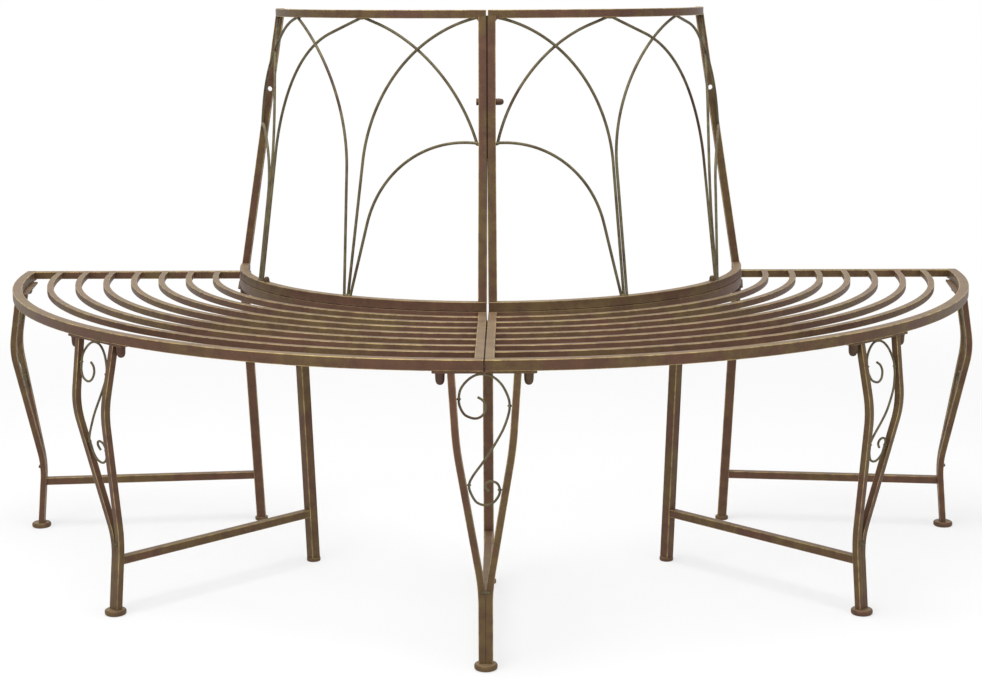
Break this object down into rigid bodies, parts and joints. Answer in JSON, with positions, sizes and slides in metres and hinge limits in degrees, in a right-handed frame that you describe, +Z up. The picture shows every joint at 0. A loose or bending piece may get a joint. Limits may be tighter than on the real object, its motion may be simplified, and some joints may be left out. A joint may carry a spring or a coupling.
{
  "type": "half-round metal tree bench",
  "caption": "Half-round metal garden bench that wraps a tree trunk, with a curved slatted seat, an arched wire backrest and scrolled legs.",
  "frame": {"origin": "centre of the bench's bounding box, on the floor under the feet", "axes": "+X along the bench's straight open back to the sitter's left, +Y out of the open back towards the tree, +Z up"},
  "size_m": [1.621, 0.811, 0.8775],
  "materials": {
    "rail_bronze": "satin antique bronze with rubbed edges",
    "slat_bronze": "satin antique bronze with rubbed edges",
    "wire_olive_bronze": "satin olive bronze",
    "leg_bronze": "satin antique bronze with rubbed edges",
    "foot_bronze": "satin antique bronze",
    "nut_bronze": "satin dark bronze"
  },
  "bodies": {
    "root": {"seat_frame_left": "rail_bronze", "back_frame_left": "rail_bronze", "slat_left_1": "slat_bronze", "slat_left_2": "slat_bronze", "slat_left_3": "slat_bronze", "slat_left_4": "slat_bronze", "slat_left_5": "slat_bronze", "slat_left_6": "slat_bronze", "slat_left_7": "slat_bronze", "post_arches_left": "wire_olive_bronze", "middle_arches_left": "wire_olive_bronze", "end_arches_left": "wire_olive_bronze", "seat_frame_right": "rail_bronze", "back_frame_right": "rail_bronze", "slat_right_1": "slat_bronze", "slat_right_2": "slat_bronze", "slat_right_3": "slat_bronze", "slat_right_4": "slat_bronze", "slat_right_5": "slat_bronze", "slat_right_6": "slat_bronze", "slat_right_7": "slat_bronze", "post_arches_right": "wire_olive_bronze", "middle_arches_right": "wire_olive_bronze", "end_arches_right": "wire_olive_bronze", "joint_bolt": "nut_bronze", "front_leg_left_end": "leg_bronze", "leg_scroll_left_end": "wire_olive_bronze", "rear_leg_left_end": "leg_bronze", "front_foot_left_end": "foot_bronze", "rear_cap_left_end": "foot_bronze", "dome_nut_a_left_end": "nut_bronze", "dome_nut_b_left_end": "nut_bronze", "front_leg_left": "leg_bronze", "leg_scroll_left": "wire_olive_bronze", "rear_leg_left": "leg_bronze", "front_foot_left": "foot_bronze", "rear_cap_left": "foot_bronze", "dome_nut_a_left": "nut_bronze", "dome_nut_b_left": "nut_bronze", "front_leg_middle": "leg_bronze", "leg_scroll_middle": "wire_olive_bronze", "rear_leg_middle": "leg_bronze", "front_foot_middle": "foot_bronze", "rear_cap_middle": "foot_bronze", "dome_nut_a_middle": "nut_bronze", "dome_nut_b_middle": "nut_bronze", "front_leg_right": "leg_bronze", "leg_scroll_right": "wire_olive_bronze", "rear_leg_right": "leg_bronze", "front_foot_right": "foot_bronze", "rear_cap_right": "foot_bronze", "dome_nut_a_right": "nut_bronze", "dome_nut_b_right": "nut_bronze", "front_leg_right_end": "leg_bronze", "leg_scroll_right_end": "wire_olive_bronze", "rear_leg_right_end": "leg_bronze", "front_foot_right_end": "foot_bronze", "rear_cap_right_end": "foot_bronze", "dome_nut_a_right_end": "nut_bronze", "dome_nut_b_right_end": "nut_bronze"}
  },
  "joints": []
}
